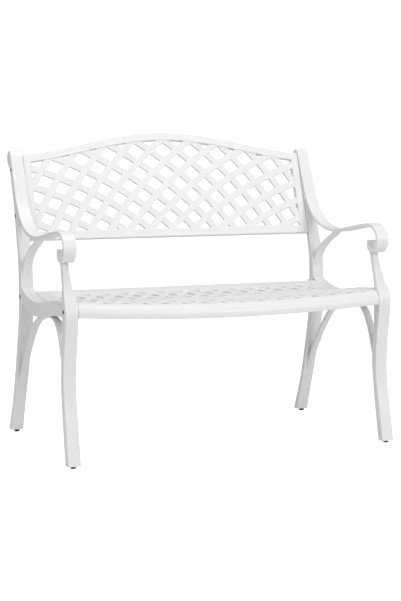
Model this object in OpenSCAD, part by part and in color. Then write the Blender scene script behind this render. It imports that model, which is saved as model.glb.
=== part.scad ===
// Two-seat cast aluminium garden bench with scrolled arms, an arched lattice back,
// a perforated contoured seat and four screw-in levelling feet.
// +X is the sitter's left, -Y is the front, +Z is up.
// The origin is on the floor, under the middle of the bench.

/* [Overall size] */
// Width over the two end frames
bench_w = 1000; // [820:10:1500]
// Depth from the front foot to the rolled top of the rear post
bench_d = 619; // [520:5:760]
// Height to the peak of the back
bench_h = 910; // [740:5:1100]

/* [End frame castings] */
// Width of posts, arms and legs, across the bench
frame_w = 38; // [32:1:50]
// Width of the front leg where it meets the scroll
neck_w = 20; // [16:1:28]
// Width of the diagonal brace under the arm
brace_w = 28; // [18:1:32]
// Width of the arched brace under the seat
arch_w = 20; // [14:1:28]
// Thickness of the rear post behind the backrest
post_t = 18; // [14:1:24]
// Thickness of the arm ribbon
arm_t = 11; // [8:0.5:14]
// Thickness of the diagonal brace where it is thinnest
brace_t = 6; // [5:0.5:10]
// Thickness of the arched brace at its crown
arch_t = 8.5; // [6:0.5:10]
// Height of the side rail at seat level
rail_h = 42; // [34:1:48]
// Wall thickness of the side rail
rail_t = 6; // [5:0.5:8]

/* [Backrest casting] */
// Depth of the rails and stiles, front to back
back_t = 18; // [16:1:22]
// Height of the arched top rail
top_rail_h = 24; // [18:1:34]
// Height of the straight bottom rail
bottom_rail_h = 26; // [18:1:36]
// Width of each side stile
stile_w = 24; // [22:1:40]
// Rise of the top rail from its ends to its peak
arch_rise = 71; // [30:1:100]
// Width of one lattice band
band_w = 21.5; // [12:0.5:26]
// Depth of the lattice bands
band_t = 10; // [6:1:14]
// How far the lattice sits behind the front of the rails
band_recess = 2; // [0:0.5:4]

/* [Seat casting] */
// Thickness of the seat shell and its skirts
seat_t = 5; // [4:0.5:7]
// Height of the skirts
skirt_h = 35; // [30:1:42]
// How far the front edge bows forward of the front legs
seat_bow = 18; // [8:1:24]
// Plain border around the perforated field
seat_border = 40; // [36:2:70]
// Spacing of the seat holes across the bench
hole_pitch_x = 58; // [50:2:80]
// Spacing of the seat holes from front to back
hole_pitch_y = 70; // [60:2:90]
// Width of one seat hole
hole_w = 32; // [16:1:40]
// Length of one seat hole
hole_l = 39; // [18:1:50]

/* [Fasteners] */
// Thread diameter of the frame screws
screw_d = 8; // [6:1:10]
// Length of the screws under the head
screw_l = 48; // [44:1:52]
// Free play of a screw in a plain hole
screw_play = 0.6; // [0.4:0.1:1]
// Gap left between castings that are bolted together
fit_gap = 0.2; // [0.1:0.05:0.4]

/* [Levelling feet] */
// Diameter of the foot pad where it meets the leg
pad_d = 17; // [14:1:22]
// Height of the foot pad
pad_h = 6.5; // [5:0.5:9]
// Diameter of the foot stud
stud_d = 6; // [5:0.5:7]
// Length of the foot stud
stud_l = 22; // [16:1:26]
// Outer diameter of the threaded insert in each leg
insert_d = 9.5; // [9:0.5:11]
// Length of the threaded insert
insert_l = 18; // [12:1:20]
// Gap between moving and fixed pieces
slide_gap = 0.3; // [0.2:0.05:0.5]

/* [Hidden] */
$fn = 48;
white = "whitesmoke";
steel = "silver";
dark = [0.12, 0.12, 0.13];

// The outlines below are drawn for a bench 619 deep and 910 high, and stretch with it.
design_d = 619;
design_h = 910;
ky = bench_d / design_d;
kz = bench_h / design_h;
half_w = bench_w / 2;
inner_x = half_w - frame_w;
mid_x = half_w - frame_w / 2;

// ---- smooth curves -------------------------------------------------------
// A row of a curve's table is [y, z, left, right]: a point of the curve, and how far
// the metal reaches to the left and to the right of the direction of travel.
curve_steps = 4;

function blend4(p, t) =
    0.5 * (2 * p[1] + (p[2] - p[0]) * t
        + (2 * p[0] - 5 * p[1] + 4 * p[2] - p[3]) * t * t
        + (3 * p[1] - p[0] - 3 * p[2] + p[3]) * t * t * t);

function clamped(c, i) = c[max(0, min(len(c) - 1, i))];

// A smooth curve through every row of a table
function smooth(c, steps = curve_steps) = [
    for (i = [0 : len(c) - 2], s = [0 : steps - 1])
        blend4([for (j = [-1 : 2]) clamped(c, i + j)], s / steps),
    c[len(c) - 1],
];

function unit(v) = v / norm(v);

function left_of(c, i) =
    let (d = clamped(c, i + 1) - clamped(c, i - 1), u = unit([d[0], d[1]]))
    [-u[1], u[0]];

// The outline of a ribbon of metal that follows a curve
function ribbon(c) = concat(
    [for (i = [0 : len(c) - 1]) [c[i][0], c[i][1]] + c[i][2] * left_of(c, i)],
    [for (i = [len(c) - 1 : -1 : 0]) [c[i][0], c[i][1]] - c[i][3] * left_of(c, i)]);

function stretched(table) = [for (p = table) [p[0] * ky, p[1] * kz, p[2], p[3]]];

function offsets(points, left, right) = [for (p = points) [p[0], p[1], left, right]];

// Height of a curve of [y, z] points that runs from the back to the front
function height_at(c, y, i = 0) =
    y >= c[0][0] ? c[0][1]
    : i >= len(c) - 1 ? c[len(c) - 1][1]
    : (y <= c[i][0] && y >= c[i + 1][0] && c[i][0] > c[i + 1][0])
        ? c[i][1] + (c[i + 1][1] - c[i][1]) * (y - c[i][0]) / (c[i + 1][0] - c[i][0])
        : height_at(c, y, i + 1);

// ---- the end frame's own curves, from the side --------------------------
foot_top = pad_h + slide_gap;

// Rear edge of the post and rear leg, from the roll down to the floor.
// The last column is the thickness of the metal in front of that edge.
rear_edge = [
    [277, 798, 0, post_t], [254, 738, 0, post_t], [236, 694, 0, post_t],
    [223, 649, 0, post_t], [209, 598, 0, post_t], [196, 556, 0, post_t + 3],
    [187, 512, 0, post_t + 9], [184, 455, 0, post_t + 11], [184, 395, 0, post_t + 11],
    [188, 343, 0, post_t + 10], [200, 290, 0, post_t + 7], [215, 231, 0, post_t + 3],
    [236, 155, 0, post_t - 1], [258, 92, 0, post_t - 2], [278, 48, 0, post_t + 2],
    [297, 4, 0, post_t + 8],
];
// Closed outline of the roll at the top of the post
roll = [
    [262, 826, 0, 0], [270, 843, 0, 0], [279, 853, 0, 0], [290, 856, 0, 0],
    [301, 851, 0, 0], [308, 841, 0, 0], [309, 829, 0, 0], [302, 816, 0, 0],
    [291, 808, 0, 0], [281, 803, 0, 0], [274, 791, 0, 0],
];
// Upper face of the arm, from the roll to the end of the front scroll
arm_face = [
    [269, 841], [254.5, 807], [238.5, 774], [223, 741], [207, 708], [186, 678],
    [159, 653], [124, 632], [84, 619.5], [46, 614], [10, 613.5], [-30, 617],
    [-96, 627], [-160, 637], [-205, 641.5], [-233, 639], [-253, 629.5], [-267, 614],
    [-272.5, 596], [-270, 579], [-259, 565], [-242, 556.5], [-224, 555.5],
    [-210, 563.5], [-204.5, 578], [-206, 593],
];
// Middle of the front leg: the last two columns are half of its thickness
front_leg = [
    [-214, 562, 9, 9], [-222, 536, 9, 9], [-231, 512, 9, 9], [-242.5, 487, 9, 9],
    [-254, 465, 10.5, 10.5], [-265, 443, 15, 15], [-269.5, 420, 18.5, 18.5],
    [-269, 396, 17.5, 17.5], [-267, 366, 15.5, 15.5], [-263, 330, 13.5, 13.5],
    [-257, 285, 13, 13], [-253.5, 240, 13, 13], [-255, 205, 12.5, 12.5],
    [-261, 165, 12, 12], [-269, 125, 13, 13], [-279, 80, 13.5, 13.5],
    [-288, 38, 13.5, 13.5], [-296, 4, 13.5, 13.5],
];
// Lower face of the diagonal brace, from the post up to the arm
// The last column is metal added to the brace's thickness at that point.
brace_face = [
    [157, 462, 3], [156, 484, 3], [152, 505, 3], [143.5, 522, 2.5], [127, 540, 1.5],
    [100, 560, 0], [66, 577.5, 0], [33, 592, 0.5], [10, 607, 1],
];
// Lower face of the arched brace, from the rear leg over to the front leg
arch_face = [
    [233, 116, 4], [226, 135, 4], [218, 151, 3.5], [207.5, 171, 3], [192.5, 192.5, 2],
    [161, 235, 1.5], [129, 277, 2], [98, 310, 2.5], [66, 340, 3], [32, 361.5, 2],
    [-6, 374.5, 0.5], [-50, 384.5, 0], [-92, 389.5, 0], [-122, 387.5, 0.5],
    [-146, 380.5, 3], [-166, 366, 5], [-183, 344, 5], [-199, 314, 3],
    [-213, 279, 2], [-229, 236, 2], [-246, 196, 3],
];

// Top of the seat, from behind its rear edge to the foot of its front apron
seat_line = [
    [170, 441], [141, 441], [116, 437], [88, 431.5], [56, 427.5], [22, 425.3],
    [-14, 426], [-57, 430.8],
    [-105, 438.4], [-153, 445.2], [-191, 449], [-225, 450.5], [-249, 449.5], [-266, 446],
    [-278, 439.4], [-285.5, 430.8], [-288.4, 420.5], [-288.6, 407.5],
];
seat_curve = smooth(offsets([for (p = seat_line) [p[0] * ky, p[1] * kz]], seat_t, 0), 2);
seat_rear = 136 * ky;
ear_y = 181 * ky;
ear_h = 34;
seat_front = 288.6 * ky;
apron_low = 407.5 * kz;
// Where the side rail runs into the post and the front leg
post_front_y = 152 * ky;
leg_back_y = -249.5 * ky;
rail_drop = 2;
rail_inset = 1.5;

rear_curve = smooth(stretched(rear_edge));
arm_curve = smooth(offsets([for (p = arm_face) [p[0] * ky, p[1] * kz]], arm_t, 0));
front_curve = smooth(stretched(front_leg));
brace_curve = smooth([for (p = brace_face) [p[0] * ky, p[1] * kz, 0, brace_t + p[2]]]);
arch_curve = smooth([for (p = arch_face) [p[0] * ky, p[1] * kz, 0, arch_t + p[2]]]);

// ---- the backrest's plane ------------------------------------------------
// Two points on the front face of the backrest, seen from the side
back_low = [182.7 * ky, 590.4 * kz];
back_high = [272.7 * ky, 842 * kz];
back_lean = atan2(back_high[0] - back_low[0], back_high[1] - back_low[1]);
back_w = 2 * (inner_x - fit_gap);
// Heights along the leaning panel, above its lower edge
panel_peak = (bench_h - back_low[1]) / cos(back_lean);
panel_side = panel_peak - arch_rise;

// The upper edge of the top rail: a cosine wave, flat at the peak
wave = 0.5385 * bench_w;
wave_end = (1 - cos(180 * back_w / 2 / wave)) / 2;
function top_edge(x) = panel_peak - arch_rise * (1 - cos(180 * x / wave)) / 2 / wave_end;

edge_steps = 28;
function edge_x(i, half) = -half + 2 * half * i / edge_steps;

// The lattice is a diagonal grid wrapped round a fan, whose hub is far below the panel
fan_depth = 994;
fan_step_a = 2.062;
fan_step_r = 36.4;
fan_top = 283.6;
fan_rows = 6;

// Radius of one band's middle line at an angle from the fan's centre line
function band_r(k, a) = fan_depth + fan_top - fan_step_r * (k - a / fan_step_a);
function polar(r, a) = [r * sin(a), r * cos(a) - fan_depth];
band_steps = 16;
fan_reach = 30;

// One band that rises to the right: a strip of constant width along its middle line
function band_line(k) = [
    for (i = [0 : band_steps])
        let (a = -fan_reach + 2 * fan_reach * i / band_steps, p = polar(band_r(k, a), a))
        [p[0], p[1], band_w / 2, band_w / 2],
];

module lattice_band(k) {
    polygon(ribbon(band_line(k)));
}

// Which bands cross the panel: odd numbers, counted from the top of the fan
band_first = -17;
band_last = 29;

module panel_outline(side, low, drop) {
    half = back_w / 2 - side;
    polygon(concat(
        [for (i = [0 : edge_steps]) [edge_x(i, half), top_edge(edge_x(i, half)) - drop]],
        [[half, low], [-half, low]]));
}

module lattice() {
    intersection() {
        panel_outline(stile_w / 2, bottom_rail_h / 2, top_rail_h / 2);
        union() {
            for (k = [band_first : 2 : band_last]) {
                lattice_band(k);
                mirror([1, 0]) lattice_band(k);
            }
        }
    }
}

module rail_frame() {
    difference() {
        panel_outline(0, 0, 0);
        panel_outline(stile_w, bottom_rail_h, top_rail_h);
    }
}

// Puts a shape drawn on the panel, thickness along +Z, onto the leaning plane.
// Its own zero thickness is the rear face.
module on_panel() {
    rear_y = back_low[0] + back_t * cos(back_lean);
    rear_z = back_low[1] - back_t * sin(back_lean);
    translate([0, rear_y, rear_z]) rotate([90 - back_lean, 0, 0]) children();
}

// ---- fastener positions, seen from the side ------------------------------
// Along the panel, above its lower edge, in the middle of its depth
back_bolt_up = [78 * kz, 223 * kz];
function panel_point(up, depth) = [
    back_low[0] + up * sin(back_lean) + depth * cos(back_lean),
    back_low[1] + up * cos(back_lean) - depth * sin(back_lean),
];
back_bolts_yz = [for (u = back_bolt_up) panel_point(u, back_t / 2)];
seat_bolts_yz = [[168 * ky, 423 * kz], [-267 * ky, 423.5 * kz]];
feet_yz = [[-293.5 * ky, 0], [277 * ky, 0]];

head_d = 1.625 * screw_d;
head_h = screw_d;
flat_d = head_d + 1;
flat_h = 1.6;
lock_h = 2;
recess_d = head_d + 2;
recess_h = head_h + lock_h + flat_h + 0.6;
key_w = 0.75 * screw_d;
nut_w = 1.625 * screw_d;
nut_h = 0.8 * screw_d;
// Where the washers under the head bear, from the outer face
seat_x = half_w - recess_h;
// Where the screw heads bear, and the room beyond the tip of each screw
bear_x = seat_x + flat_h + lock_h;
tip_room = 1;

// A cylinder along X, from one X to another, at a side-view position
module x_rod(yz, x1, x2, d) {
    translate([x1, yz[0], yz[1]]) rotate([0, 90, 0]) cylinder(h = x2 - x1, d = d);
}

// Copies something drawn for the +X end onto both ends
module both_ends() {
    children();
    mirror([1, 0, 0]) children();
}

// ---- end frame -----------------------------------------------------------
// Draws a side view as a plate of metal of width w, centred in the frame
module side_plate(w) {
    translate([mid_x - w / 2, 0, 0]) rotate([90, 0, 90]) linear_extrude(w) children();
}

module above_feet() {
    intersection() {
        translate([-bench_d, foot_top]) square([2 * bench_d, bench_h]);
        children();
    }
}

module post_and_arm() {
    above_feet() union() {
        polygon(ribbon(rear_curve));
        polygon([for (p = smooth(stretched(roll))) [p[0], p[1]]]);
        polygon(ribbon(arm_curve));
        polygon(arm_web);
    }
}

// Metal between the arm ribbon and the post, above the point where they part
part_z = 676 * kz;
arm_web = concat(
    [for (p = arm_curve) if (p[1] > part_z && p[0] > 0) [p[0] + arm_t / 2, p[1]]],
    [for (i = [len(rear_curve) - 1 : -1 : 0])
        let (p = rear_curve[i]) if (p[1] > part_z) [p[0] - post_t / 2, p[1]]]);

// Front view of the front leg: narrow at the neck, full width at the knee
neck_z = 520 * kz;
knee_z = 436 * kz;
scroll_z = 560 * kz;
neck_flare = (frame_w - neck_w) / 2;
flare_steps = 8;
module leg_front_view() {
    side = concat(
        [[frame_w / 2, -1]],
        [for (i = [0 : flare_steps]) let (t = i / flare_steps)
            [neck_w / 2 + neck_flare * (1 + cos(180 * t)) / 2, knee_z + (neck_z - knee_z) * t]],
        [[neck_w / 2, scroll_z], [neck_w / 2 + 2, scroll_z + 8 * kz]]);
    polygon(concat(side, [for (i = [len(side) - 1 : -1 : 0]) [-side[i][0], side[i][1]]]));
}

module front_leg_solid() {
    intersection() {
        side_plate(frame_w) above_feet() polygon(ribbon(front_curve));
        translate([mid_x, bench_d, 0]) rotate([90, 0, 0]) linear_extrude(2 * bench_d)
            leg_front_view();
    }
}

module screw_hole(yz) {
    x_rod(yz, seat_x, half_w + 1, recess_d);
    x_rod(yz, inner_x - 1, half_w, screw_d + screw_play);
}

module insert_hole(yz) {
    translate([mid_x, yz[0], 0]) cylinder(h = foot_top + insert_l, d = insert_d);
    translate([mid_x, yz[0], 0]) cylinder(h = pad_h + stud_l + 1, d = stud_d + 2 * slide_gap);
}

// Side rail: a channel that is open underneath and follows the edge of the seat
// and sweeps up where it meets the post
rail_ends = [post_front_y + 8, leg_back_y - 6];
sweep_rise = 10 * kz;
sweep_y = 110 * ky;
function rail_rise(y) =
    sweep_rise * pow(max(0, y - sweep_y) / (post_front_y - sweep_y), 2) - rail_drop;

module rail_view(h) {
    top = [for (p = seat_curve) if (p[0] < rail_ends[0] && p[0] > rail_ends[1]) p];
    polygon(ribbon([for (p = top) [p[0], p[1] + rail_rise(p[0]), h, 0]]));
}

module side_rail() {
    rail_w = frame_w - rail_inset;
    translate([inner_x, 0, 0]) rotate([90, 0, 90]) linear_extrude(rail_w) rail_view(rail_t);
    translate([inner_x + rail_w - rail_t, 0, 0]) rotate([90, 0, 90])
        linear_extrude(rail_t) rail_view(rail_h);
}

module end_frame() {
    color(white) difference() {
        union() {
            side_plate(frame_w) post_and_arm();
            side_rail();
            front_leg_solid();
            side_plate(brace_w) polygon(ribbon(brace_curve));
            side_plate(arch_w) polygon(ribbon(arch_curve));
        }
        for (yz = concat(back_bolts_yz, seat_bolts_yz)) screw_hole(yz);
        for (yz = feet_yz) insert_hole(yz);
    }
}

module end_frame_right() {
    end_frame();
}

module end_frame_left() {
    mirror([1, 0, 0]) end_frame();
}

// ---- backrest ------------------------------------------------------------
module backrest_panel() {
    color(white) difference() {
        on_panel() union() {
            linear_extrude(back_t) rail_frame();
            translate([0, 0, back_t - band_recess - band_t]) linear_extrude(band_t) lattice();
        }
        both_ends() for (yz = back_bolts_yz)
            x_rod(yz, bear_x - screw_l - tip_room, half_w, screw_d + fit_gap);
    }
}

// ---- seat ----------------------------------------------------------------
seat_inner_x = inner_x - fit_gap;

// Radius of the bowed front, and the middle of its arc, on the centre line behind it
bow_r = (inner_x * inner_x + seat_bow * seat_bow) / (2 * seat_bow);
bow_y = bow_r - seat_front - seat_bow;
bow_angle = asin(half_w / (bow_r - bench_d));

// Turns a side view round the bow's centre, so that it follows the front edge.
// The view's own Y is measured on the ends of the seat.
module bowed() {
    translate([0, bow_y, 0]) rotate([0, 0, -90 - bow_angle])
        rotate_extrude(angle = 2 * bow_angle, $fn = 1440)
            mirror([1, 0]) translate([-bow_y - seat_bow, 0]) children();
}

// Side skirts, which reach back beside the posts to take the rear bolts
module skirt_view() {
    skin = 1;
    top = [for (p = seat_curve) if (p[0] < seat_rear && p[0] > -280 * ky) p];
    polygon(concat(
        [for (p = top) [p[0], p[1] - skin]],
        [for (i = [len(top) - 1 : -1 : 0]) let (p = top[i])
            [p[0], max(p[1] - skirt_h, p[0] < -240 * ky ? apron_low : 0)]]));
    translate([seat_rear - 2 * seat_t, seat_bolts_yz[0][1] - ear_h / 2])
        square([ear_y - seat_rear + 2 * seat_t, ear_h]);
}

// One hole of the seat: a diamond with its corners cut off
module seat_hole() {
    c = 0.06;
    a = hole_w / 2;
    b = hole_l / 2;
    polygon([
        [a, -c * b], [a, c * b], [c * a, b], [-c * a, b],
        [-a, c * b], [-a, -c * b], [-c * a, -b], [c * a, -b],
    ]);
}

module seat_holes() {
    field_x = seat_inner_x - seat_border - hole_w / 2;
    y_hi = seat_rear - seat_border - hole_l / 2;
    y_lo = -seat_front + seat_border + hole_l / 2;
    rows = floor((y_hi - y_lo) / (hole_pitch_y / 2));
    y_mid = (y_hi + y_lo) / 2;
    for (j = [0 : rows]) {
        y = y_mid + (j - rows / 2) * hole_pitch_y / 2;
        shift = (j % 2) * hole_pitch_x / 2;
        n = floor((field_x - shift) / hole_pitch_x);
        for (i = [-n - (j % 2) : n])
            translate([i * hole_pitch_x + shift, y]) seat_hole();
    }
}

module seat_panel() {
    low = 380 * kz;
    rear_top = height_at(seat_curve, seat_rear);
    color(white) difference() {
        union() {
            intersection() {
                bowed() polygon(ribbon(seat_curve));
                translate([-seat_inner_x, -bench_d, low])
                    cube([2 * seat_inner_x, bench_d + seat_rear, 90 * kz]);
            }
            for (x = [-seat_inner_x, seat_inner_x - seat_t])
                translate([x, 0, 0]) rotate([90, 0, 90]) linear_extrude(seat_t) skirt_view();
            translate([-seat_inner_x, seat_rear - seat_t, rear_top - skirt_h])
                cube([2 * seat_inner_x, seat_t, skirt_h - seat_t / 2]);
        }
        translate([0, 0, low]) linear_extrude(90 * kz) seat_holes();
        both_ends() for (yz = seat_bolts_yz)
            x_rod(yz, inner_x - 3 * seat_t, half_w, screw_d + screw_play);
    }
}

// ---- screws, washers and nuts -------------------------------------------
module cap_screw(yz) {
    difference() {
        union() {
            x_rod(yz, bear_x, bear_x + head_h, head_d);
            x_rod(yz, bear_x - screw_l, bear_x, screw_d);
        }
        translate([bear_x + head_h / 2, yz[0], yz[1]]) rotate([0, 90, 0])
            cylinder(h = head_h, d = key_w / cos(30), $fn = 6);
    }
}

module washer(yz, x, h, d) {
    difference() {
        x_rod(yz, x, x + h, d);
        x_rod(yz, x - 1, x + h + 1, screw_d + fit_gap);
    }
}

module lock_washer(yz) {
    slit = 1.2;
    difference() {
        washer(yz, seat_x + flat_h, lock_h, head_d - 0.4);
        translate([seat_x + flat_h - 1, yz[0] - slit / 2, yz[1] + screw_d / 2])
            cube([lock_h + 2, slit, screw_d]);
    }
}

module hex_nut(yz) {
    x = seat_inner_x - seat_t - flat_h - nut_h;
    difference() {
        translate([x, yz[0], yz[1]]) rotate([0, 90, 0])
            cylinder(h = nut_h, d = nut_w / cos(30), $fn = 6);
        x_rod(yz, x - 1, x + nut_h + 1, screw_d + fit_gap);
    }
}

module back_bolts() {
    color(dark) both_ends() for (yz = back_bolts_yz) cap_screw(yz);
}

module back_lock_washers() {
    color(steel) both_ends() for (yz = back_bolts_yz) lock_washer(yz);
}

module back_flat_washers() {
    color(steel) both_ends() for (yz = back_bolts_yz) washer(yz, seat_x, flat_h, flat_d);
}

module seat_bolts() {
    color(dark) both_ends() for (yz = seat_bolts_yz) cap_screw(yz);
}

module seat_lock_washers() {
    color(steel) both_ends() for (yz = seat_bolts_yz) lock_washer(yz);
}

module seat_flat_washers() {
    color(steel) both_ends() for (yz = seat_bolts_yz) washer(yz, seat_x, flat_h, flat_d);
}

module seat_inner_washers() {
    color(steel) both_ends() for (yz = seat_bolts_yz)
        washer(yz, seat_inner_x - seat_t - flat_h, flat_h, flat_d);
}

module seat_nuts() {
    color(steel) both_ends() for (yz = seat_bolts_yz) hex_nut(yz);
}

// ---- levelling feet ------------------------------------------------------
module leg_inserts() {
    color(steel) both_ends() for (yz = feet_yz) translate([mid_x, yz[0], foot_top])
        difference() {
            cylinder(h = insert_l, d = insert_d - fit_gap);
            translate([0, 0, -1]) cylinder(h = insert_l + 2, d = stud_d + 2 * slide_gap);
        }
}

socket_h = 0.6 * pad_h;

module foot_pad(side, yz) {
    edge = 1;
    color(dark) translate([side * mid_x, yz[0], 0]) rotate_extrude() polygon([
        [0, 0], [pad_d / 2 - 2 * edge, 0], [pad_d / 2 - edge, edge], [pad_d / 2, pad_h - edge],
        [pad_d / 2 - edge / 2, pad_h], [stud_d / 2, pad_h],
        [stud_d / 2, pad_h - socket_h], [0, pad_h - socket_h],
    ]);
}

module foot_stud(side, yz) {
    color(steel) translate([side * mid_x, yz[0], pad_h - socket_h])
        cylinder(h = socket_h + stud_l, d = stud_d);
}

module front_left_foot_pad() { foot_pad(-1, feet_yz[0]); }
module front_left_foot_stud() { foot_stud(-1, feet_yz[0]); }
module front_right_foot_pad() { foot_pad(1, feet_yz[0]); }
module front_right_foot_stud() { foot_stud(1, feet_yz[0]); }
module rear_left_foot_pad() { foot_pad(-1, feet_yz[1]); }
module rear_left_foot_stud() { foot_stud(-1, feet_yz[1]); }
module rear_right_foot_pad() { foot_pad(1, feet_yz[1]); }
module rear_right_foot_stud() { foot_stud(1, feet_yz[1]); }

end_frame_left();
end_frame_right();
backrest_panel();
seat_panel();
back_bolts();
back_lock_washers();
back_flat_washers();
seat_bolts();
seat_lock_washers();
seat_flat_washers();
seat_inner_washers();
seat_nuts();
leg_inserts();
front_left_foot_pad();
front_left_foot_stud();
front_right_foot_pad();
front_right_foot_stud();
rear_left_foot_pad();
rear_left_foot_stud();
rear_right_foot_pad();
rear_right_foot_stud();
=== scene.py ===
import math

import bmesh
import bpy
import numpy as np
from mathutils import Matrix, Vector


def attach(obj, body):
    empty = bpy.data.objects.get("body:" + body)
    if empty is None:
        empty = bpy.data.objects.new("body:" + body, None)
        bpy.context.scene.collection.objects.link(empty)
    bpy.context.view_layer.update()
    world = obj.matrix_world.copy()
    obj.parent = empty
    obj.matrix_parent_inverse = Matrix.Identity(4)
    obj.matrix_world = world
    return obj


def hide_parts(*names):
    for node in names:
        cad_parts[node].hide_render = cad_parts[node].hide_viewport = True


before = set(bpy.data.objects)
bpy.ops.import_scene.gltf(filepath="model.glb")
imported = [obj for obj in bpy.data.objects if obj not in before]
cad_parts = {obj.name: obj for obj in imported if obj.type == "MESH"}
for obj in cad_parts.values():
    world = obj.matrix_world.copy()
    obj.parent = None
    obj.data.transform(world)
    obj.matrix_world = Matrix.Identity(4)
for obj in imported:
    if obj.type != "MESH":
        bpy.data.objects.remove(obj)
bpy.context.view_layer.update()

MM = 0.001

# ---- sizes, in millimetres ----------------------------------------------------
# They follow the CAD part's. SHADOW_GAP and SEAT_DIP are the drawing's own, and places out
# of sight, such as the lower edges of the seat's skirts, differ by a millimetre or two.
HALF_W = 500.0
FRAME_W = 38.0
INNER_X = HALF_W - FRAME_W
MID_X = HALF_W - FRAME_W / 2
POST_T = 18.0
ARM_T = 11.0
BRACE_W, BRACE_T = 28.0, 6.0
ARCH_W, ARCH_T = 20.0, 8.5
RAIL_H, RAIL_T, RAIL_DROP, RAIL_INSET = 42.0, 6.0, 2.0, 1.5
FIT_GAP = 0.2
SWEEP_RISE, SWEEP_Y, POST_FRONT = 10.0, 110.0, 152.0
PAD_D, PAD_H = 17.0, 6.5
FOOT_TOP = 6.8
STUD_D, STUD_L, INSERT_D, INSERT_L, SLIDE_GAP = 6.0, 22.0, 9.5, 18.0, 0.3
RECESS_D, RECESS_H, HOLE_D = 15.0, 12.2, 8.6

BACK_T = 18.0
BACK_LOW = (182.7, 590.4)
BACK_HIGH = (272.7, 842.0)
LEAN = math.atan2(BACK_HIGH[0] - BACK_LOW[0], BACK_HIGH[1] - BACK_LOW[1])
SHADOW_GAP = 1.6
BACK_HALF = INNER_X - SHADOW_GAP
TOP_RAIL, BOTTOM_RAIL, STILE = 24.0, 26.0, 24.0
PANEL_PEAK = (910.0 - BACK_LOW[1]) / math.cos(LEAN)
ARCH_RISE = 71.0
WAVE = 538.5

SEAT_T = 5.0
SEAT_HALF = INNER_X - FIT_GAP
SEAT_BOW = 18.0
SEAT_DIP = 15.0
SEAT_REAR = 136.0
SKIRT_H = 35.0
EAR_Y, EAR_LOW, EAR_HIGH = 181.0, 406.0, 440.0
REAR_LOW, REAR_HIGH = 405.7, 438.0
SKIRT_DROP, APRON_LOW = 1.5, 408.0

# Outlines from the side, as (y, z, metal to the left, metal to the right) of travel.
# Rear face of the rear leg and post, from the roll down; the last column adds to POST_T
REAR_EDGE = [
    (277, 798, 0, 0), (254, 738, 0, 0), (236, 694, 0, 0), (223, 649, 0, 0),
    (209, 598, 0, 0), (196, 556, 0, 3), (187, 512, 0, 9), (184, 455, 0, 11),
    (184, 395, 0, 11), (188, 343, 0, 10), (200, 290, 0, 7), (215, 231, 0, 3),
    (236, 155, 0, -1), (258, 92, 0, -2), (278, 48, 0, 2), (297, 4, 0, 8),
]
# Outline of the solid roll on top of the post, as (y, z), and its middle
ROLL = [
    (262, 826), (270, 843), (279, 853), (290, 856), (301, 851), (308, 841),
    (309, 829), (302, 816), (291, 808), (281, 803), (274, 791),
]
ROLL_CENTRE = (284.0, 827.0)
# Outer face of the arm, as (y, z), down the post and along to the scroll. Unlike the CAD
# part's, it starts with a turn round the roll.
ARM_FACE = [
    (283, 803), (295, 808.5), (304.5, 817), (309.5, 829), (308.5, 842), (301, 852),
    (289.5, 856), (278, 852.5), (269, 842), (261.5, 825), (254.5, 807),
    (238.5, 774), (223, 741), (207, 708), (186, 678),
    (159, 653), (124, 632), (84, 619.5), (46, 614), (10, 613.5), (-30, 617),
    (-96, 627), (-160, 637), (-205, 641.5), (-233, 639), (-253, 629.5), (-267, 614),
    (-272.5, 596), (-270, 579), (-259, 565), (-242, 556.5), (-224, 555.5),
    (-210, 563.5), (-204.5, 578), (-206, 593),
]
# Middle of the front leg, from the scroll down to its foot
FRONT_LEG = [
    (-214, 562, 9, 9), (-222, 536, 9, 9), (-231, 512, 9, 9), (-242.5, 487, 9, 9),
    (-254, 465, 10.5, 10.5), (-265, 443, 15, 15), (-269.5, 420, 18.5, 18.5),
    (-269, 396, 17.5, 17.5), (-267, 366, 15.5, 15.5), (-263, 330, 13.5, 13.5),
    (-257, 285, 13, 13), (-253.5, 240, 13, 13), (-255, 205, 12.5, 12.5),
    (-261, 165, 12, 12), (-269, 125, 13, 13), (-279, 80, 13.5, 13.5),
    (-288, 38, 13.5, 13.5), (-296, 4, 13.5, 13.5),
]
# Faces of the braces under the arm and the seat, as (y, z, extra metal)
BRACE_FACE = [
    (157, 462, 3), (156, 484, 3), (152, 505, 3), (143.5, 522, 2.5), (127, 540, 1.5),
    (100, 560, 0), (66, 577.5, 0), (33, 592, 0.5), (10, 607, 1),
]
ARCH_FACE = [
    (233, 116, 4), (226, 135, 4), (218, 151, 3.5), (207.5, 171, 3),
    (192.5, 192.5, 2), (161, 235, 1.5), (129, 277, 2),
    (98, 310, 2.5), (66, 340, 3), (32, 361.5, 2), (-6, 374.5, 0.5), (-50, 384.5, 0),
    (-92, 389.5, 0), (-122, 387.5, 0.5), (-146, 380.5, 3), (-166, 366, 5),
    (-183, 344, 5), (-199, 314, 3), (-213, 279, 2), (-229, 236, 2), (-246, 196, 3),
]
# Top of the seat from its rear edge to the foot of its front apron
SEAT_LINE = [
    (170, 441), (141, 441), (116, 437), (88, 431.5), (56, 427.5), (22, 425.3),
    (-14, 426), (-57, 430.8),
    (-105, 438.4), (-153, 445.2), (-191, 449), (-225, 450.5), (-249, 449.5),
    (-266, 446), (-278, 439.4), (-285.5, 430.8), (-288.4, 420.5), (-288.6, 407.5),
]
# Width of the front leg across the bench, as (z, width)
LEG_WIDTHS = [
    (0, 38), (436, 38), (455, 35), (470, 31), (485, 27), (500, 24), (520, 21.5),
    (545, 20), (556, 20), (566, 24),
]


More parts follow.
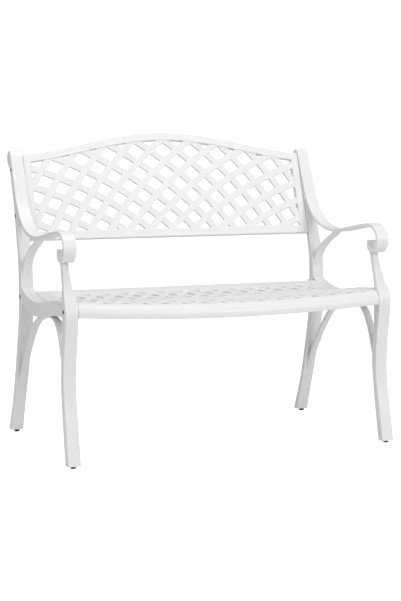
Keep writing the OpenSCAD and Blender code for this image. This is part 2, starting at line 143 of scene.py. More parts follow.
# ---- curves and meshes -------------------------------------------------------
def smooth(rows, steps):
    """Catmull-Rom through every row, like the CAD part's own curves."""
    a = np.array(rows, float)
    out = []
    for i in range(len(a) - 1):
        p = [a[min(max(i + j, 0), len(a) - 1)] for j in (-1, 0, 1, 2)]
        for s in range(steps):
            t = s / steps
            out.append(0.5 * (2 * p[1] + (p[2] - p[0]) * t
                              + (2 * p[0] - 5 * p[1] + 4 * p[2] - p[3]) * t * t
                              + (3 * p[1] - p[0] - 3 * p[2] + p[3]) * t ** 3))
    out.append(a[-1])
    return np.array(out)


def left_normals(yz):
    d = np.empty_like(yz)
    d[1:-1] = yz[2:] - yz[:-2]
    d[0], d[-1] = yz[1] - yz[0], yz[-1] - yz[-2]
    d /= np.linalg.norm(d, axis=1)[:, None]
    return np.stack([-d[:, 1], d[:, 0]], axis=1)


ARC = (0, 18, 36, 54, 72, 90)


def section(width, radius, relief=None, columns=2):
    """Columns across a bar: (place across, drop of the face, drop of the back).
    relief(u) is how far the face drops at u, from 0 to 1 between its round edges."""
    cols = []
    for deg in ARC:
        c, s = math.cos(math.radians(deg)), math.sin(math.radians(deg))
        cols.append((-width / 2 + radius * (1 - c), radius * (1 - s), radius * (1 - s)))
    for i in range(1, columns):
        u = i / columns
        x = (-0.5 + u) * (width - 2 * radius)
        cols.append((x, relief(u) if relief else 0.0, 0.0))
    for deg in reversed(ARC):
        c, s = math.cos(math.radians(deg)), math.sin(math.radians(deg))
        cols.append((width / 2 - radius * (1 - c), radius * (1 - s), radius * (1 - s)))
    return cols


def reeds(count, depth):
    """Rounded ridges side by side, with narrow valleys between them."""
    return lambda u: depth * (1 - abs(math.sin(math.pi * count * u)) ** 0.8)


def grooves(places, width, depth):
    """Round-bottomed grooves at these places across the face."""
    def drop(u):
        return depth * max(max(0.0, 1 - ((u - p) / width) ** 2) for p in places)
    return drop


def loft(rings, closed=False):
    """Joins rings of (face row, back row) point lists into a closed skin."""
    n = len(rings[0][0])
    verts, faces = [], []
    for face, back in rings:
        verts.extend(face)
        verts.extend(reversed(back))
    size = 2 * n
    count = len(rings)
    for i in range(count if closed else count - 1):
        a, b = i * size, ((i + 1) % count) * size
        for k in range(size):
            m = (k + 1) % size
            faces.append((a + k, a + m, b + m, b + k))
    if not closed:
        for base in (0, (count - 1) * size):
            for k in range(n - 1):
                faces.append((base + k, base + k + 1, base + size - 2 - k, base + size - 1 - k))
    return verts, faces


def mesh_object(name, verts, faces):
    me = bpy.data.meshes.new(name)
    me.from_pydata([tuple(float(c) * MM for c in v) for v in verts], [], faces)
    bm = bmesh.new()
    bm.from_mesh(me)
    bmesh.ops.remove_doubles(bm, verts=bm.verts, dist=1e-7)
    bmesh.ops.recalc_face_normals(bm, faces=bm.faces)
    bm.to_mesh(me)
    bm.free()
    o = bpy.data.objects.new(name, me)
    bpy.context.scene.collection.objects.link(o)
    return o


def combine(name, solids, cutters=()):
    """One casting from overlapping solids, less the cutters."""
    base = solids[0]
    groups = (("UNION", solids[1:]), ("DIFFERENCE", cutters))
    for operation, others in groups:
        if not others:
            continue
        group = bpy.data.collections.new(name + operation)
        bpy.context.scene.collection.children.link(group)
        for o in others:
            bpy.context.scene.collection.objects.unlink(o)
            group.objects.link(o)
        m = base.modifiers.new(operation, "BOOLEAN")
        m.operation = operation
        m.operand_type = "COLLECTION"
        m.collection = group
        m.solver = "MANIFOLD"
    graph = bpy.context.evaluated_depsgraph_get()
    me = bpy.data.meshes.new_from_object(base.evaluated_get(graph))
    base.modifiers.clear()
    base.data = me
    base.name = me.name = name
    for operation, others in groups:
        for o in list(others):
            bpy.data.objects.remove(o)
        if others:
            bpy.data.collections.remove(bpy.data.collections[name + operation])
    return base


def finish_piece(o, material, body, nodes=(), sharp=38):
    me = o.data
    me.materials.clear()
    me.materials.append(material)
    me.polygons.foreach_set("use_smooth", [True] * len(me.polygons))
    me.set_sharp_from_angle(angle=math.radians(sharp))
    if nodes:
        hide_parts(*nodes)
    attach(o, body)
    return o


def rod(name, centre, axis, length, diameter, segments=48):
    """A plain cylinder, used to cut holes; centre is the middle of its first end."""
    verts, faces = [], []
    side, up = {"x": ((0, 1, 0), (0, 0, 1)), "z": ((1, 0, 0), (0, 1, 0))}[axis]
    along = {"x": (1, 0, 0), "z": (0, 0, 1)}[axis]
    for end in (0, 1):
        for k in range(segments):
            a = 2 * math.pi * k / segments
            verts.append([centre[j] + along[j] * length * end
                          + diameter / 2 * (side[j] * math.cos(a) + up[j] * math.sin(a))
                          for j in range(3)])
    for k in range(segments):
        m = (k + 1) % segments
        faces.append((k, m, segments + m, segments + k))
    faces.append(tuple(range(segments))[::-1])
    faces.append(tuple(range(segments, 2 * segments)))
    return mesh_object(name, verts, faces)


def block(name, lo, hi):
    x, y, z = zip(lo, hi)
    verts = [(x[i], y[j], z[k]) for i in (0, 1) for j in (0, 1) for k in (0, 1)]
    faces = [(0, 1, 3, 2), (4, 6, 7, 5), (0, 4, 5, 1), (2, 3, 7, 6), (0, 2, 6, 4), (1, 5, 7, 3)]
    return mesh_object(name, verts, faces)


# ---- end frames ----------------------------------------------------------------
def bar(name, rows, face, width, radius=2.2, relief=None, columns=2, x=MID_X, round_end=0):
    """A bar of metal along a side-view curve. face is the side of travel, "left" or
    "right", that shows the relief; width is a number or a function of (y, z). The last
    round_end rows grow thinner, which rounds the bar's far end."""
    yz, left, right = rows[:, :2], rows[:, 2], rows[:, 3]
    normal = left_normals(yz)
    if face == "left":
        up, top, low = normal, left, right
    else:
        up, top, low = -normal, right, left
    rings = []
    count = len(rows)
    for i in range(count):
        w = width(*yz[i]) if callable(width) else width
        cols = section(w, radius, relief, columns)
        t, b = top[i], -low[i]
        tail = min(1.0, (count - 1 - i) / round_end) if round_end else 1.0
        keep = max(0.15, math.sqrt(1 - (1 - tail) ** 2))
        mid = (t + b) / 2
        t, b = mid + (t - mid) * keep, mid + (b - mid) * keep
        face_row, back_row = [], []
        for cx, df, db in cols:
            limit = 0.46 * (t - b)
            f, k = t - min(df, limit), b + min(db, limit)
            face_row.append((x + cx, yz[i][0] + up[i][0] * f, yz[i][1] + up[i][1] * f))
            back_row.append((x + cx, yz[i][0] + up[i][0] * k, yz[i][1] + up[i][1] * k))
        rings.append((face_row, back_row))
    return mesh_object(name, *loft(rings))


def with_offsets(points, left, right):
    return [(p[0], p[1], left, right) for p in points]


def leg_width(y, z):
    zs, ws = zip(*LEG_WIDTHS)
    return float(np.interp(z, zs, ws))


# How much of its outline the roll fills, so that the arm's skin wraps round it
ROLL_FILL = 0.9
ROLL_EDGE = 4.0


def roll_solid(name):
    """The solid roll at the top of the post, with soft edges."""
    ring = smooth([p + (0, 0) for p in ROLL + [ROLL[0]]], 6)[:-1, :2]
    centre = np.array(ROLL_CENTRE)
    ring = centre + (ring - centre) * ROLL_FILL
    verts, faces = [], []
    steps = [(1 - math.cos(a), 1 - math.sin(a)) for a in np.radians(ARC)]
    xs = [(-FRAME_W / 2 + ROLL_EDGE * a, ROLL_EDGE * b) for a, b in steps]
    xs += [(-x, inset) for x, inset in reversed(xs)]
    n = len(ring)
    size = np.linalg.norm(ring - centre, axis=1)[:, None]
    for x, inset in xs:
        for p in ring - (ring - centre) / size * inset:
            verts.append((MID_X + x, p[0], p[1]))
    for j in range(len(xs) - 1):
        for k in range(n):
            m = (k + 1) % n
            faces.append((j * n + k, j * n + m, (j + 1) * n + m, (j + 1) * n + k))
    for base, x in ((0, xs[0][0]), ((len(xs) - 1) * n, xs[-1][0])):
        verts.append((MID_X + x, centre[0], centre[1]))
        for k in range(n):
            faces.append((base + k, base + (k + 1) % n, len(verts) - 1))
    return mesh_object(name, verts, faces)


def seat_rows(steps=4):
    return smooth(with_offsets(SEAT_LINE, 0, 0), steps)


def panel_point(up, depth):
    return (BACK_LOW[0] + up * math.sin(LEAN) + depth * math.cos(LEAN),
            BACK_LOW[1] + up * math.cos(LEAN) - depth * math.sin(LEAN))


# Where the screws and feet sit, as (y, z) and y
BACK_BOLTS = [panel_point(u, BACK_T / 2) for u in (78, 223)]
SEAT_BOLTS = [(168, 423), (-267, 423.5)]
FEET = {"front": -293.5, "rear": 277.0}


REED_DEPTH = 0.4
MIRROR = ((-1, 0, 0, 0), (0, 1, 0, 0), (0, 0, 1, 0), (0, 0, 0, 1))


def rail_crest(y, z):
    """Top of the side rail, which sweeps up to meet the post."""
    sweep = max(0, y - SWEEP_Y) / (POST_FRONT - SWEEP_Y)
    return z - RAIL_DROP + SWEEP_RISE * sweep ** 2


def end_frame(name, mirrored):
    four = reeds(4, REED_DEPTH)
    rear = smooth([(y, z, a, b + POST_T) for y, z, a, b in REAR_EDGE], 6)
    arm = smooth(with_offsets(ARM_FACE, ARM_T, 0), 8)
    leg = smooth(FRONT_LEG, 6)
    brace = smooth([(y, z, 0, BRACE_T + t) for y, z, t in BRACE_FACE], 6)
    arch = smooth([(y, z, 0, ARCH_T + t) for y, z, t in ARCH_FACE], 6)
    seat = seat_rows()
    seat = seat[(seat[:, 0] < 160) & (seat[:, 0] > -256)]
    web = [p for p in arm if 676 < p[1] < 800 and 0 < p[0] < 262]
    solids = [
        bar("post", rear, "right", FRAME_W, relief=four, columns=40),
        roll_solid("roll"),
        bar("arm", arm, "right", FRAME_W, relief=four, columns=40, round_end=5),
        bar("arm_web", np.array([(p[0], p[1], ARM_T + 4, -3) for p in web]), "right", FRAME_W - 4),
        bar("leg", leg, "right", leg_width, radius=3.0, relief=four, columns=40),
        bar("brace", brace, "left", BRACE_W, relief=reeds(3, REED_DEPTH), columns=30),
        bar("arch", arch, "left", ARCH_W, radius=3.0),
    ]
    rail_w = FRAME_W - RAIL_INSET
    outer_x = HALF_W - RAIL_INSET
    top = np.array([(y, rail_crest(y, z), RAIL_T, 0) for y, z, _, _ in seat])
    side = np.array([(y, rail_crest(y, z), RAIL_H, 0) for y, z, _, _ in seat])
    solids.append(bar("rail_top", top, "right", rail_w, radius=2.0, x=outer_x - rail_w / 2))
    solids.append(bar("rail_side", side, "right", RAIL_T, radius=2.0, x=outer_x - RAIL_T / 2))
    cutters = [block("floor_cut", (INNER_X - 10, -400, -20), (HALF_W + 10, 400, FOOT_TOP))]
    for y, z in BACK_BOLTS + SEAT_BOLTS:
        cutters.append(rod("recess", (HALF_W - RECESS_H, y, z), "x", RECESS_H + 5, RECESS_D))
        cutters.append(rod("hole", (INNER_X - 5, y, z), "x", FRAME_W, HOLE_D))
    for y in FEET.values():
        cutters.append(rod("foot_hole", (MID_X, y, 0), "z", FOOT_TOP + INSERT_L, INSERT_D))
        cutters.append(rod("stud_hole", (MID_X, y, 0), "z", PAD_H + STUD_L + 1, STUD_D + 2 * SLIDE_GAP))
    o = combine(name, solids, cutters)
    if mirrored:
        o.data.transform(MIRROR)
        o.data.flip_normals()
    return o


# ---- backrest ------------------------------------------------------------------
def back_place(x, s, n):
    """A point of the leaning panel: across, up the panel, and forward from its rear face."""
    y, z = panel_point(s, BACK_T - n)
    return (x, y, z)


def top_edge(x):
    end = (1 - math.cos(math.pi * BACK_HALF / WAVE)) / 2
    return PANEL_PEAK - ARCH_RISE * (1 - math.cos(math.pi * x / WAVE)) / 2 / end


def bead_relief(u):
    """Two round beads beside a shallow middle channel, across a rail."""
    deep = 0.8
    for centre in (0.13, 0.87):
        if abs(u - centre) < 0.1:
            return deep * (1 - math.sqrt(1 - ((u - centre) / 0.1) ** 2))
    return deep * (1 - 0.8 * math.sqrt(max(0.0, 1 - ((u - 0.5) / 0.27) ** 2)))


RAIL_EDGE = 2.0


def rail_loop():
    """The frame of the backrest, with mitred corners, as one closed loop."""
    half = BACK_HALF - STILE / 2
    low = BOTTOM_RAIL / 2
    xs = np.linspace(half, -half, 97)
    top = [(x, top_edge(x) - TOP_RAIL / 2) for x in xs]
    pts = [(x, low) for x in np.linspace(-half, half, 25)]
    pts += [(half, s) for s in np.linspace(low, top[0][1], 9)[1:-1]]
    pts += top
    pts += [(-half, s) for s in np.linspace(top[-1][1], low, 9)[1:-1]]
    widths = [BOTTOM_RAIL] * 24 + [STILE] * 8 + [TOP_RAIL] * 96 + [STILE] * 8
    pts = np.array(pts)
    n = len(pts)
    us = np.linspace(0, 1, 33)
    rings = []
    for i in range(n):
        a, b, c = pts[i - 1], pts[i], pts[(i + 1) % n]
        d1, d2 = (b - a) / np.linalg.norm(b - a), (c - b) / np.linalg.norm(c - b)
        n1, n2 = np.array([d1[1], -d1[0]]), np.array([d2[1], -d2[0]])
        w1, w2 = widths[i - 1], widths[i]
        if abs(n1 @ d2) < 1e-3:
            across = n1 * w1 / 2
        else:
            across = np.linalg.solve(np.array([n1, n2]), np.array([w1 / 2, w2 / 2]))
        face, back = [], []
        for u in us:
            p = b + across * (2 * u - 1)
            inside = max(0.0, RAIL_EDGE - min(u, 1 - u) * w2)
            drop = RAIL_EDGE - math.sqrt(max(0.0, RAIL_EDGE ** 2 - inside ** 2))
            sunk = max(drop, bead_relief(u)) if drop < 0.6 * RAIL_EDGE else drop
            face.append(back_place(p[0], p[1], BACK_T - sunk))
            back.append(back_place(p[0], p[1], drop))
        rings.append((face, back))
    return mesh_object("back_rails", *loft(rings, closed=True))


# The bands are spirals about a point far below the panel. Each rises by FAN_STEP_R for
# every FAN_STEP_A degrees that it turns, and its neighbours are two such steps away.
FAN_DEPTH, FAN_TOP = 994.0, 283.6
FAN_STEP_A, FAN_STEP_R = 2.062, 36.4
FAN_TURNS = np.arange(-30, 30.001, 0.3)
BAND_W = 21.5
BAND_FIRST, BAND_LAST = -17, 29


def inside_panel(x, s):
    """True from the middle of one rail to the middle of the facing one."""
    return (abs(x) < BACK_HALF - STILE / 2 and BOTTOM_RAIL / 2 < s
            and s < top_edge(min(abs(x), BACK_HALF)) - TOP_RAIL / 2)


def back_bands(side):
    """Bands of the fan lattice; side 1 rises to the right, -1 to the left."""
    if side > 0:
        low, high = 6.0, 16.0
        cols = section(BAND_W, 1.8, None, 3)
    else:
        low, high = 6.5, 15.5
        cols = section(BAND_W, 1.6, grooves((0.2, 0.5, 0.8), 0.07, 0.45), 30)
    solids = []
    for k in range(BAND_FIRST, BAND_LAST + 1, 2):
        run = []
        for a in FAN_TURNS:
            r = FAN_DEPTH + FAN_TOP - FAN_STEP_R * (k - a / FAN_STEP_A)
            x = side * r * math.sin(math.radians(a))
            s = r * math.cos(math.radians(a)) - FAN_DEPTH
            if inside_panel(x, s):
                run.append((x, s))
        if len(run) < 4:
            continue
        run = np.array(run)
        normal = left_normals(run)
        rings = []
        for p, q in zip(run, normal):
            rings.append(([back_place(*(p + q * cx), high - df) for cx, df, _ in cols],
                          [back_place(*(p + q * cx), low + min(db, 1.0)) for cx, _, db in cols]))
        solids.append(mesh_object("band", *loft(rings)))
    return solids


# ---- seat ------------------------------------------------------------------------
SEAT_CURVE = seat_rows(12)[:, :2]
SEAT_CURVE = SEAT_CURVE[SEAT_CURVE[:, 0] <= SEAT_REAR + 1]
SEAT_ARC = np.concatenate([[0], np.cumsum(np.linalg.norm(np.diff(SEAT_CURVE, axis=0), axis=1))])
SEAT_LONG = float(SEAT_ARC[-1])
SEAT_NORMAL = -left_normals(SEAT_CURVE)
FIELD_X = SEAT_HALF - 36.0
FIELD_REAR = 50.0
FIELD_FRONT = SEAT_LONG - 52.0
CELL_X, CELL_V = 58.0, 70.0
SEAT_BAND_W = 19.5
LIP_W, LIP_SLOPE, LIP_H = 5.0, 1.5, 1.3
SEAT_EDGE = 1.8


def seat_place(x, v, n):
    """A point of the seat: across, forward along its curve from the rear edge, and out."""
    y, z = np.interp(v, SEAT_ARC, SEAT_CURVE[:, 0]), np.interp(v, SEAT_ARC, SEAT_CURVE[:, 1])
    ny, nz = np.interp(v, SEAT_ARC, SEAT_NORMAL[:, 0]), np.interp(v, SEAT_ARC, SEAT_NORMAL[:, 1])
    w = min(1.0, v / (0.8 * SEAT_LONG))
    w = w * w * (3 - 2 * w) * max(0.0, 1 - (x / SEAT_HALF) ** 2)
    return (x, y - SEAT_BOW * w + ny * n, z - SEAT_DIP * w + nz * n)


def seat_plate():
    """The plain border all round, with a raised lip beside the pierced field."""
    lip_end = LIP_W + LIP_SLOPE
    borders = (SEAT_HALF, SEAT_HALF - 0.6, SEAT_HALF - SEAT_EDGE, SEAT_HALF - 6, SEAT_HALF - 18,
               FIELD_X + lip_end, FIELD_X + 1.2, FIELD_X)
    xs = list(np.linspace(-FIELD_X - LIP_W, FIELD_X + LIP_W, 61))
    xs = sorted(set(xs + [s * q for s in (-1, 1) for q in borders]))
    vs = [0, 0.5, 1.6, 5, 14, 26, 38, FIELD_REAR - lip_end, FIELD_REAR - LIP_W, FIELD_REAR - 1.2]
    vs += list(np.linspace(FIELD_REAR, FIELD_FRONT, 30))
    vs += [FIELD_FRONT + 1.2, FIELD_FRONT + LIP_W, FIELD_FRONT + lip_end]
    vs += list(np.linspace(FIELD_FRONT + LIP_W + 4, SEAT_LONG - 3, 16))
    vs = sorted(set(vs + [SEAT_LONG - 1.6, SEAT_LONG - 0.5, SEAT_LONG]))

    def height(x, v):
        out = max(abs(x) - FIELD_X, FIELD_REAR - v, v - FIELD_FRONT)
        rim = min(SEAT_HALF - abs(x), v, SEAT_LONG - v)
        h = 0.0
        if out <= lip_end:
            h = LIP_H * max(0.0, min(1.0, (lip_end - out) / LIP_SLOPE))
            h *= min(1.0, 0.35 + max(0.0, out) / 1.2)
        if rim < SEAT_EDGE:
            h -= SEAT_EDGE - math.sqrt(SEAT_EDGE ** 2 - (SEAT_EDGE - rim) ** 2)
        return h

    verts, faces = [], []
    nx, nv = len(xs), len(vs)
    for v in vs:
        for x in xs:
            verts.append(seat_place(x, v, height(x, v)))
    for v in vs:
        for x in xs:
            verts.append(seat_place(x, v, -SEAT_T))
    under = nx * nv

    def kept(i, j):
        if not (0 <= i < nx - 1 and 0 <= j < nv - 1):
            return False
        x, v = (xs[i] + xs[i + 1]) / 2, (vs[j] + vs[j + 1]) / 2
        return abs(x) > FIELD_X or v < FIELD_REAR or v > FIELD_FRONT

    for j in range(nv - 1):
        for i in range(nx - 1):
            if not kept(i, j):
                continue
            a, b, c, d = j * nx + i, j * nx + i + 1, (j + 1) * nx + i + 1, (j + 1) * nx + i
            faces.append((a, b, c, d))
            faces.append((under + d, under + c, under + b, under + a))
            for (ni, nj), (p, q) in (((i, j - 1), (a, b)), ((i + 1, j), (b, c)),
                                     ((i, j + 1), (c, d)), ((i - 1, j), (d, a))):
                if not kept(ni, nj):
                    faces.append((q, p, under + p, under + q))
    return mesh_object("seat_plate", verts, faces)


def seat_bands(side):
    if side > 0:
        low, high = -5.0, 0.6
        cols = section(SEAT_BAND_W, 2.0, None, 3)
    else:
        low, high = -4.4, -0.5
        cols = section(SEAT_BAND_W, 1.6, grooves((0.25, 0.5, 0.75), 0.1, 0.8), 24)
    reach = 8.0
    solids = []
    mid_v = (FIELD_REAR + FIELD_FRONT) / 2
    slope = CELL_X / CELL_V
    count = int((2 * FIELD_X + (FIELD_FRONT - FIELD_REAR) * slope) / CELL_X) + 2
    for k in range(-count, count + 1):
        run = []
        for v in np.arange(FIELD_REAR - reach, FIELD_FRONT + reach, 3.0):
            x = (k + 0.5) * CELL_X + side * (v - mid_v) * slope
            if abs(x) < FIELD_X + reach:
                run.append((x, v))
        if len(run) < 5:
            continue
        run = np.array(run)
        normal = left_normals(run)
        rings = []
        for p, q in zip(run, normal):
            rings.append(([seat_place(*(p + q * cx), high - df) for cx, df, _ in cols],
                          [seat_place(*(p + q * cx), low + min(db, 1.0)) for cx, _, db in cols]))
        solids.append(mesh_object("seat_band", *loft(rings)))
    return solids


def seat_skirts():
    rows = seat_rows()
    rows = rows[(rows[:, 0] < SEAT_REAR) & (rows[:, 0] > -280)]
    side = np.array([(y, z - SKIRT_DROP, SKIRT_H if y > -240 else max(8.0, z - APRON_LOW), 0)
                     for y, z, _, _ in rows])
    solids = []
    for x in (-SEAT_HALF + SEAT_T / 2, SEAT_HALF - SEAT_T / 2):
        solids.append(bar("side_skirt", side, "right", SEAT_T, radius=1.2, x=x))
        solids.append(block("ear", (x - SEAT_T / 2, SEAT_REAR - 10, EAR_LOW),
                            (x + SEAT_T / 2, EAR_Y, EAR_HIGH)))
    solids.append(block("rear_skirt", (-SEAT_HALF, SEAT_REAR - SEAT_T, REAR_LOW),
                        (SEAT_HALF, SEAT_REAR - 0.3, REAR_HIGH)))
    return solids


# ---- feet and screws -----------------------------------------------------------
def lathe(name, profile, centre, axis, segments=64):
    """Turns (radius, along) points about an axis through centre."""
    verts, faces = [], []
    for r, h in profile:
        for k in range(segments):
            a = 2 * math.pi * k / segments
            c, s = r * math.cos(a), r * math.sin(a)
            if axis == "z":
                verts.append((centre[0] + c, centre[1] + s, centre[2] + h))
            else:
                verts.append((centre[0] + h * axis, centre[1] + c, centre[2] + s))
    n = segments
    for j in range(len(profile) - 1):
        for k in range(n):
            m = (k + 1) % n
            faces.append((j * n + k, j * n + m, (j + 1) * n + m, (j + 1) * n + k))
    faces.append(tuple(range(n)))
    faces.append(tuple(range((len(profile) - 1) * n, len(profile) * n)))
    return mesh_object(name, verts, faces)


def foot_pad(name, x, y):
    r, h = PAD_D / 2, PAD_H
    profile = [(r - 2.6, 0), (r - 1.9, 0.15), (r - 1.4, 0.55), (r - 1.1, 1.2)]
    profile += [(r - 1.1 + 1.1 * t, 1.2 + (h - 2.4) * t) for t in (0.33, 0.66, 1.0)]
    profile += [(r - 0.15, h - 0.6), (r - 0.6, h - 0.15), (r - 1.1, h)]
    profile += [(STUD_D / 2 + 0.6, h), (STUD_D / 2 + 0.05, h - 0.3)]
    return lathe(name, profile, (x, y, 0), "z")


HEAD_D, HEAD_H, SOCKET_R, WASHER_STACK = 13.0, 8.0, 3.46, 3.6


def cap_head(side, y, z):
    """The head and shank of one socket-head screw, with a hexagon socket."""
    bear = HALF_W - RECESS_H + WASHER_STACK
    r, h = HEAD_D / 2, HEAD_H
    profile = [(3.9, -44), (3.98, -43.4), (3.98, -0.2), (r - 0.4, 0), (r, 0.4)]
    profile += [(r, h - 0.9), (r - 0.27, h - 0.27), (r - 0.9, h)]
    head = lathe("screw", profile, (side * bear, y, z), side)
    socket = lathe("socket", [(SOCKET_R, h / 2), (SOCKET_R, h + 2)], (side * bear, y, z), side, 6)
    return combine("screw", [head], [socket])


def join(name, objects):
    """One object from several, each keeping its own closed skin."""
    bm = bmesh.new()
    for o in objects:
        bm.from_mesh(o.data)
    me = bpy.data.meshes.new(name)
    bm.to_mesh(me)
    bm.free()
    for o in objects:
        bpy.data.objects.remove(o)
    out = bpy.data.objects.new(name, me)
    bpy.context.scene.collection.objects.link(out)
    return out


# ---- materials -----------------------------------------------------------------
def material(name, colour, rough, metallic=0.0, grain=900.0, grain_depth=0.03, wave=35.0,
             wave_depth=0.0, shade=0.03, rough_spread=0.06, crease_shade=0.0):
    """A finish with fine grain, slow waviness, slight unevenness of tone and gloss, and, if asked,
    painted shade that darkens its creases.
    """
    m = bpy.data.materials.new(name)
    m.use_nodes = True
    t = m.node_tree
    t.nodes.clear()
    out = t.nodes.new("ShaderNodeOutputMaterial")
    p = t.nodes.new("ShaderNodeBsdfPrincipled")
    t.links.new(p.outputs["BSDF"], out.inputs["Surface"])
    p.inputs["Metallic"].default_value = metallic
    where = t.nodes.new("ShaderNodeTexCoord").outputs["Object"]

    def noise(scale, detail):
        n = t.nodes.new("ShaderNodeTexNoise")
        n.inputs["Scale"].default_value = scale
        n.inputs["Detail"].default_value = detail
        t.links.new(where, n.inputs["Vector"])
        return n.outputs["Fac"]

    def ramp(fac, low, high, a=0.3, b=0.7):
        r = t.nodes.new("ShaderNodeMapRange")
        r.inputs["From Min"].default_value, r.inputs["From Max"].default_value = a, b
        r.inputs["To Min"].default_value, r.inputs["To Max"].default_value = low, high
        t.links.new(fac, r.inputs["Value"])
        return r.outputs["Result"]

    tone = t.nodes.new("ShaderNodeMix")
    tone.data_type = "RGBA"
    tone.inputs["A"].default_value = (*[c * (1 - shade) for c in colour], 1)
    tone.inputs["B"].default_value = (*colour, 1)
    t.links.new(ramp(noise(9.0, 4), 0, 1), tone.inputs["Factor"])
    colour_out = tone.outputs["Result"]
    # Painted shade: the colour is darkened where the surface folds inward (low pointiness), in creases,
    # grooves and corners.
    if crease_shade:
        point = t.nodes.new("ShaderNodeNewGeometry").outputs["Pointiness"]
        crease = t.nodes.new("ShaderNodeMix")
        crease.data_type = "RGBA"
        crease.inputs["A"].default_value = (*[c * (1 - crease_shade) for c in colour], 1)
        t.links.new(colour_out, crease.inputs["B"])
        t.links.new(ramp(point, 0, 1, 0.44, 0.495), crease.inputs["Factor"])
        colour_out = crease.outputs["Result"]
    t.links.new(colour_out, p.inputs["Base Color"])
    gloss = ramp(noise(55.0, 3), rough - rough_spread, rough + rough_spread)
    t.links.new(gloss, p.inputs["Roughness"])
    fine = t.nodes.new("ShaderNodeBump")
    fine.inputs["Strength"].default_value = 0.5
    fine.inputs["Distance"].default_value = grain_depth * MM
    t.links.new(noise(grain, 2), fine.inputs["Height"])
    if wave_depth:
        slow = t.nodes.new("ShaderNodeBump")
        slow.inputs["Strength"].default_value = 0.6
        slow.inputs["Distance"].default_value = wave_depth * MM
        t.links.new(noise(wave, 3), slow.inputs["Height"])
        t.links.new(slow.outputs["Normal"], fine.inputs["Normal"])
    t.links.new(fine.outputs["Normal"], p.inputs["Normal"])
    return m


# The white finish has painted shade in its creases, darkening them by 6 per cent.
WHITE = material("white_powder_coat", (0.80, 0.812, 0.81), 0.38, grain=620.0, grain_depth=0.12,
                 wave=38.0, wave_depth=0.9, shade=0.02, crease_shade=0.06)
BLACK_SCREW = material("black_oxide_steel", (0.035, 0.035, 0.038), 0.36, metallic=0.85,
                       grain=1500.0, grain_depth=0.03, shade=0.2)
ZINC = material("zinc_plated_steel", (0.60, 0.62, 0.64), 0.3, metallic=1.0, grain=1200.0,
                grain_depth=0.03, shade=0.08)
NYLON = material("black_nylon", (0.022, 0.022, 0.024), 0.55, grain=1400.0, grain_depth=0.06,
                 shade=0.15)

# ---- the bench --------------------------------------------------------------------
for side in ("left", "right"):
    o = end_frame("end_frame_" + side + "_casting", side == "left")
    finish_piece(o, WHITE, "frame", ["end_frame_" + side])

back = combine("backrest_casting", [rail_loop()] + back_bands(1) + back_bands(-1))
finish_piece(back, WHITE, "frame", ["backrest_panel"])

seat = combine("seat_casting", [seat_plate()] + seat_skirts() + seat_bands(1) + seat_bands(-1))
finish_piece(seat, WHITE, "frame", ["seat_panel"])

for group, places in (("back", BACK_BOLTS), ("seat", SEAT_BOLTS)):
    screws = [cap_head(s, y, z) for s in (-1, 1) for y, z in places]
    finish_piece(join(group + "_screws", screws), BLACK_SCREW, "frame",
                 [group + "_bolts"])

for side, sign in (("left", -1), ("right", 1)):
    for end, y in FEET.items():
        foot = end + "_" + side + "_foot"
        finish_piece(foot_pad(foot + "_pad_turned", sign * MID_X, y), NYLON, foot,
                     [foot + "_pad"])

for node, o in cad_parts.items():
    if not o.hide_render:
        o.data.materials.clear()
        o.data.materials.append(ZINC)

# ---- studio ------------------------------------------------------------------------
# Lengths in metres. The camera's turn is also that of the wall behind the bench.
FLOOR_LIFT = 0.8
SKY_LIGHT = 0.40
FLOOR_NEAR, FLOOR_FAR, WALL_CURVE, WALL_TOP, WALL_HALF = -9.0, 4.5, 2.5, 9.0, 14.0
CAMERA_PLACE = (-1.766, -4.384, 0.928)
CAMERA_TILT, CAMERA_TURN = 88.08, -22.07
CAMERA_LENS, CAMERA_SENSOR, CAMERA_SHIFT = 94.8, 36.0, -0.2005


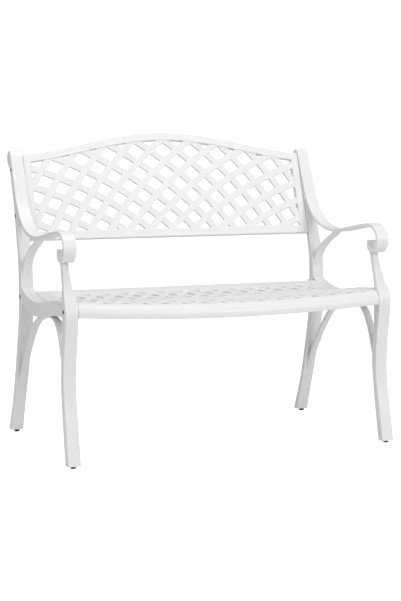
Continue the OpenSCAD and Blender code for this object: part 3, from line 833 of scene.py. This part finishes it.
def studio():
    """A pale floor that curves up into a pale wall behind."""
    profile = [(FLOOR_NEAR, 0.0), (FLOOR_FAR, 0.0)]
    for a in np.linspace(0.1, math.pi / 2, 16):
        profile.append((FLOOR_FAR + WALL_CURVE * math.sin(a), WALL_CURVE * (1 - math.cos(a))))
    profile.append((FLOOR_FAR + WALL_CURVE, WALL_TOP))
    verts, faces = [], []
    for y, z in profile:
        verts += [(-WALL_HALF, y, z), (WALL_HALF, y, z)]
    for i in range(len(profile) - 1):
        faces.append((2 * i, 2 * i + 1, 2 * i + 3, 2 * i + 2))
    me = bpy.data.meshes.new("studio_floor")
    me.from_pydata(verts, [], faces)
    me.polygons.foreach_set("use_smooth", [True] * len(me.polygons))
    o = bpy.data.objects.new("studio_floor", me)
    bpy.context.scene.collection.objects.link(o)
    m = bpy.data.materials.new("pale_floor")
    m.use_nodes = True
    p = m.node_tree.nodes["Principled BSDF"]
    p.inputs["Base Color"].default_value = (0.88, 0.88, 0.88, 1)
    p.inputs["Roughness"].default_value = 0.9
    p.inputs["Specular IOR Level"].default_value = 0.1
    p.inputs["Emission Color"].default_value = (1, 1, 1, 1)
    seen = m.node_tree.nodes.new("ShaderNodeLightPath").outputs["Is Camera Ray"]
    lift = m.node_tree.nodes.new("ShaderNodeMath")
    lift.operation = "MULTIPLY"
    lift.inputs[1].default_value = FLOOR_LIFT
    m.node_tree.links.new(seen, lift.inputs[0])
    m.node_tree.links.new(lift.outputs[0], p.inputs["Emission Strength"])
    me.materials.append(m)
    o.rotation_euler[2] = math.radians(CAMERA_TURN)


def area_light(name, place, target, size, power, colour=(1, 1, 1)):
    d = bpy.data.lights.new(name, "AREA")
    d.shape = "RECTANGLE"
    d.size, d.size_y = size
    d.energy = power
    d.color = colour
    o = bpy.data.objects.new(name, d)
    bpy.context.scene.collection.objects.link(o)
    o.location = place
    aim = [t - p for t, p in zip(target, place)]
    o.rotation_euler = Vector(aim).to_track_quat("-Z", "Y").to_euler()
    o.visible_camera = False
    return o


studio()
area_light("key", (2.0, -4.4, 2.3), (0, 0, 0.4), (2.4, 2.0), 88)
area_light("top", (-0.2, -0.2, 3.2), (0, 0, 0.5), (2.6, 2.2), 40)
area_light("upper_left", (-2.4, -1.2, 2.3), (-0.4, 0, 0.9), (1.4, 1.2), 14)

world = bpy.data.worlds.new("soft_sky")
world.use_nodes = True
tree = world.node_tree
sky = tree.nodes["Background"]
sky.inputs["Color"].default_value = (1, 1, 1, 1)
level = tree.nodes.new("ShaderNodeMapRange")
level.inputs["To Min"].default_value = SKY_LIGHT
level.inputs["To Max"].default_value = 1.0
seen = tree.nodes.new("ShaderNodeLightPath").outputs["Is Camera Ray"]
tree.links.new(seen, level.inputs["Value"])
tree.links.new(level.outputs["Result"], sky.inputs["Strength"])
bpy.context.scene.world = world
bpy.context.scene.view_settings.view_transform = "Standard"
bpy.context.scene.view_settings.look = "None"

# ---- camera ---------------------------------------------------------------------------
cam = bpy.data.cameras.new("camera")
cam.sensor_width = CAMERA_SENSOR
cam.lens = CAMERA_LENS
cam.shift_y = CAMERA_SHIFT
camera = bpy.data.objects.new("camera", cam)
bpy.context.scene.collection.objects.link(camera)
camera.location = CAMERA_PLACE
camera.rotation_euler = (math.radians(CAMERA_TILT), 0, math.radians(CAMERA_TURN))
bpy.context.scene.camera = camera
